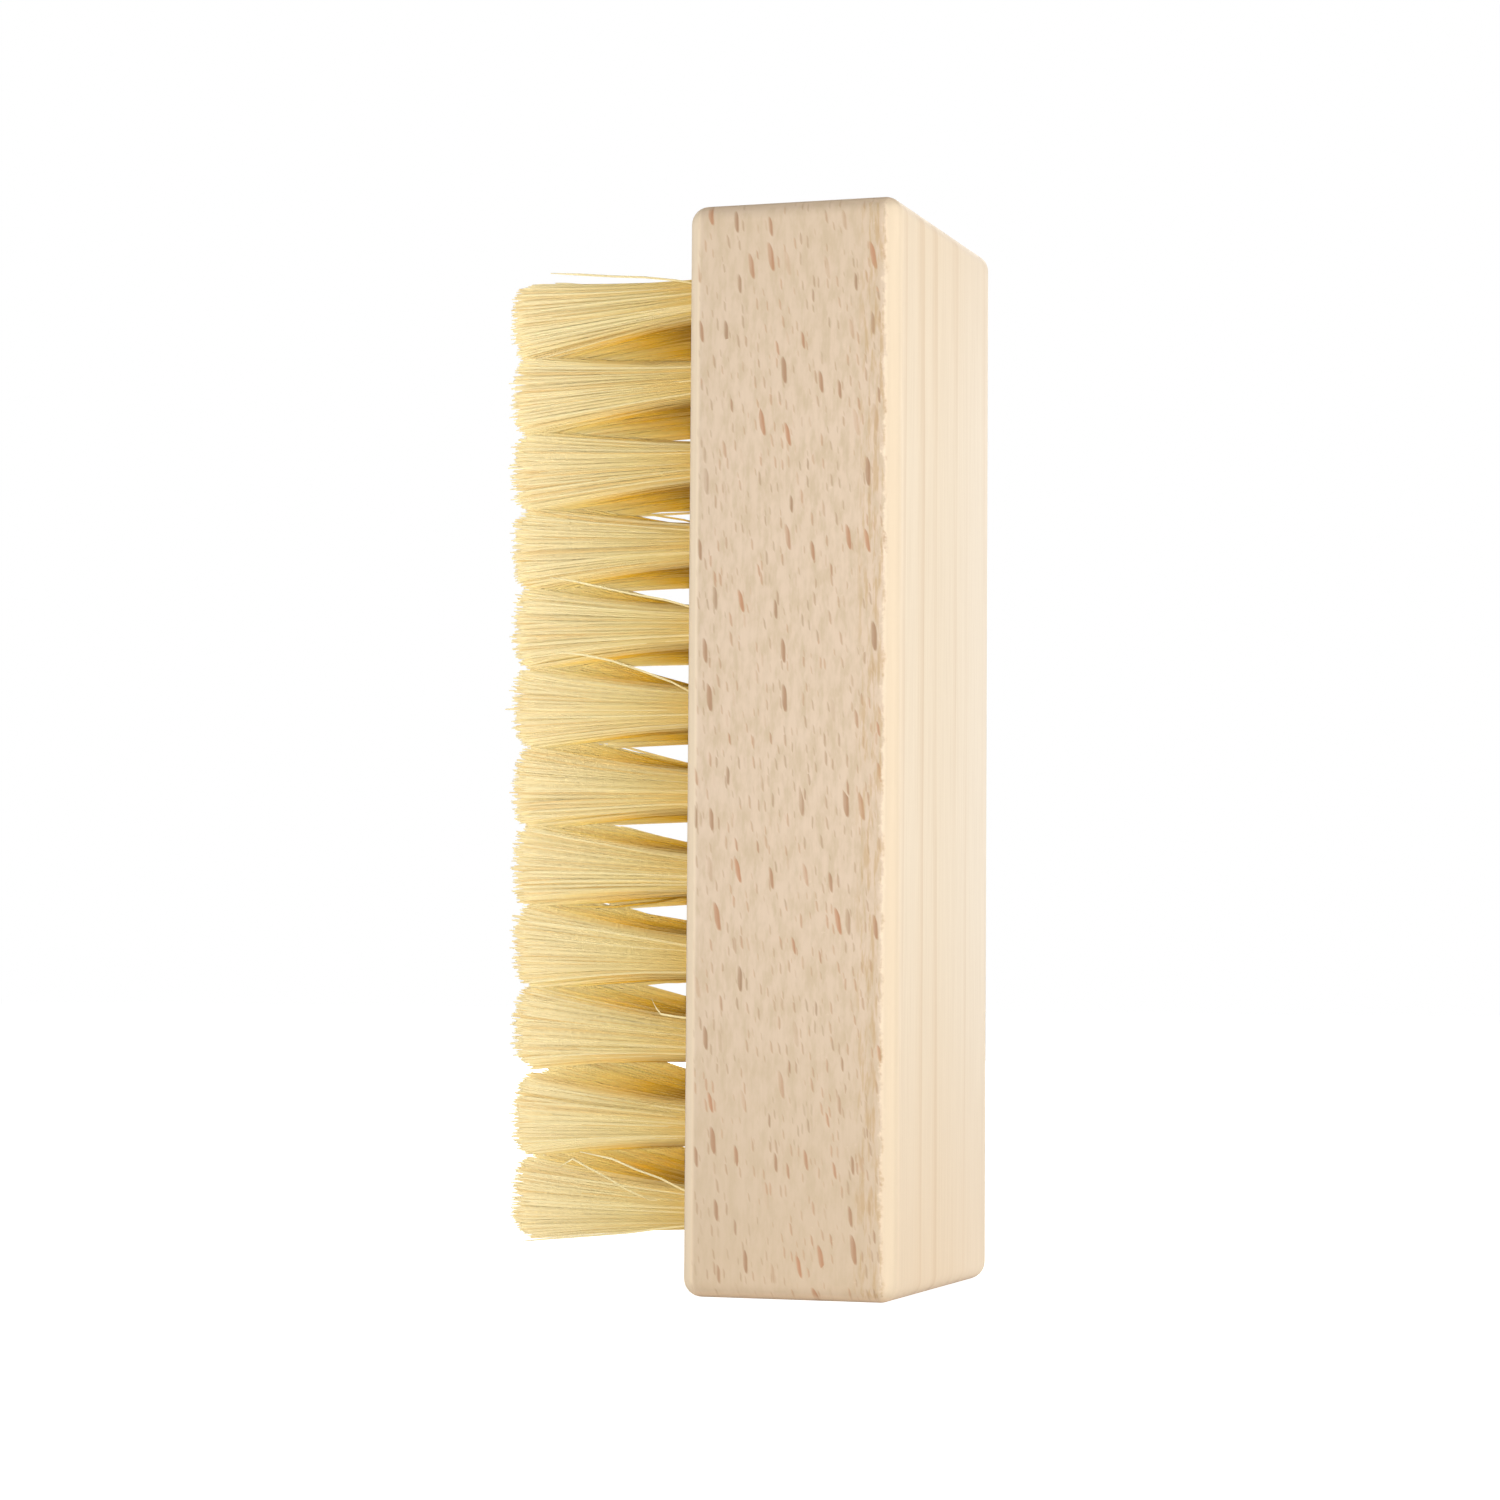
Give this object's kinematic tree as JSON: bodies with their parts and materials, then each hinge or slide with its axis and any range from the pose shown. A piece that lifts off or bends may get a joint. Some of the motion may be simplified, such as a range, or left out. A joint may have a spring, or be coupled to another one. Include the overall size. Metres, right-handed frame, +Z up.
{
  "type": "cleaning brush",
  "caption": "Rectangular wooden block brush with rounded edges and a dense field of natural bristle tufts set in drilled holes on one broad face.",
  "frame": {"origin": "centre of the block's lower end face, on which the brush stands", "axes": "+Z up along the block's length, +X out of the plain back, away from the bristles, which point to -X, and Y across the rows of tufts"},
  "size_m": [0.0461, 0.04, 0.12],
  "materials": {
    "beech": "sanded and left raw, matt, with fine brown flecks on the sides",
    "bristle": "natural light hog bristle, slightly glossy, amber at the root and pale at the tip",
    "anchor_wire": "cut flat wire, hidden in the holes"
  },
  "bodies": {
    "root": {"block": "beech", "wire_anchors": "anchor_wire", "tuft_a_01": "bristle", "tuft_a_02": "bristle", "tuft_a_03": "bristle", "tuft_a_04": "bristle", "tuft_a_05": "bristle", "tuft_a_06": "bristle", "tuft_a_07": "bristle", "tuft_a_08": "bristle", "tuft_a_09": "bristle", "tuft_a_10": "bristle", "tuft_a_11": "bristle", "tuft_a_12": "bristle", "tuft_b_01": "bristle", "tuft_b_02": "bristle", "tuft_b_03": "bristle", "tuft_b_04": "bristle", "tuft_b_05": "bristle", "tuft_b_06": "bristle", "tuft_b_07": "bristle", "tuft_b_08": "bristle", "tuft_b_09": "bristle", "tuft_b_10": "bristle", "tuft_b_11": "bristle", "tuft_b_12": "bristle", "tuft_c_01": "bristle", "tuft_c_02": "bristle", "tuft_c_03": "bristle", "tuft_c_04": "bristle", "tuft_c_05": "bristle", "tuft_c_06": "bristle", "tuft_c_07": "bristle", "tuft_c_08": "bristle", "tuft_c_09": "bristle", "tuft_c_10": "bristle", "tuft_c_11": "bristle", "tuft_c_12": "bristle", "tuft_d_01": "bristle", "tuft_d_02": "bristle", "tuft_d_03": "bristle", "tuft_d_04": "bristle", "tuft_d_05": "bristle", "tuft_d_06": "bristle", "tuft_d_07": "bristle", "tuft_d_08": "bristle", "tuft_d_09": "bristle", "tuft_d_10": "bristle", "tuft_d_11": "bristle", "tuft_d_12": "bristle"}
  },
  "joints": []
}
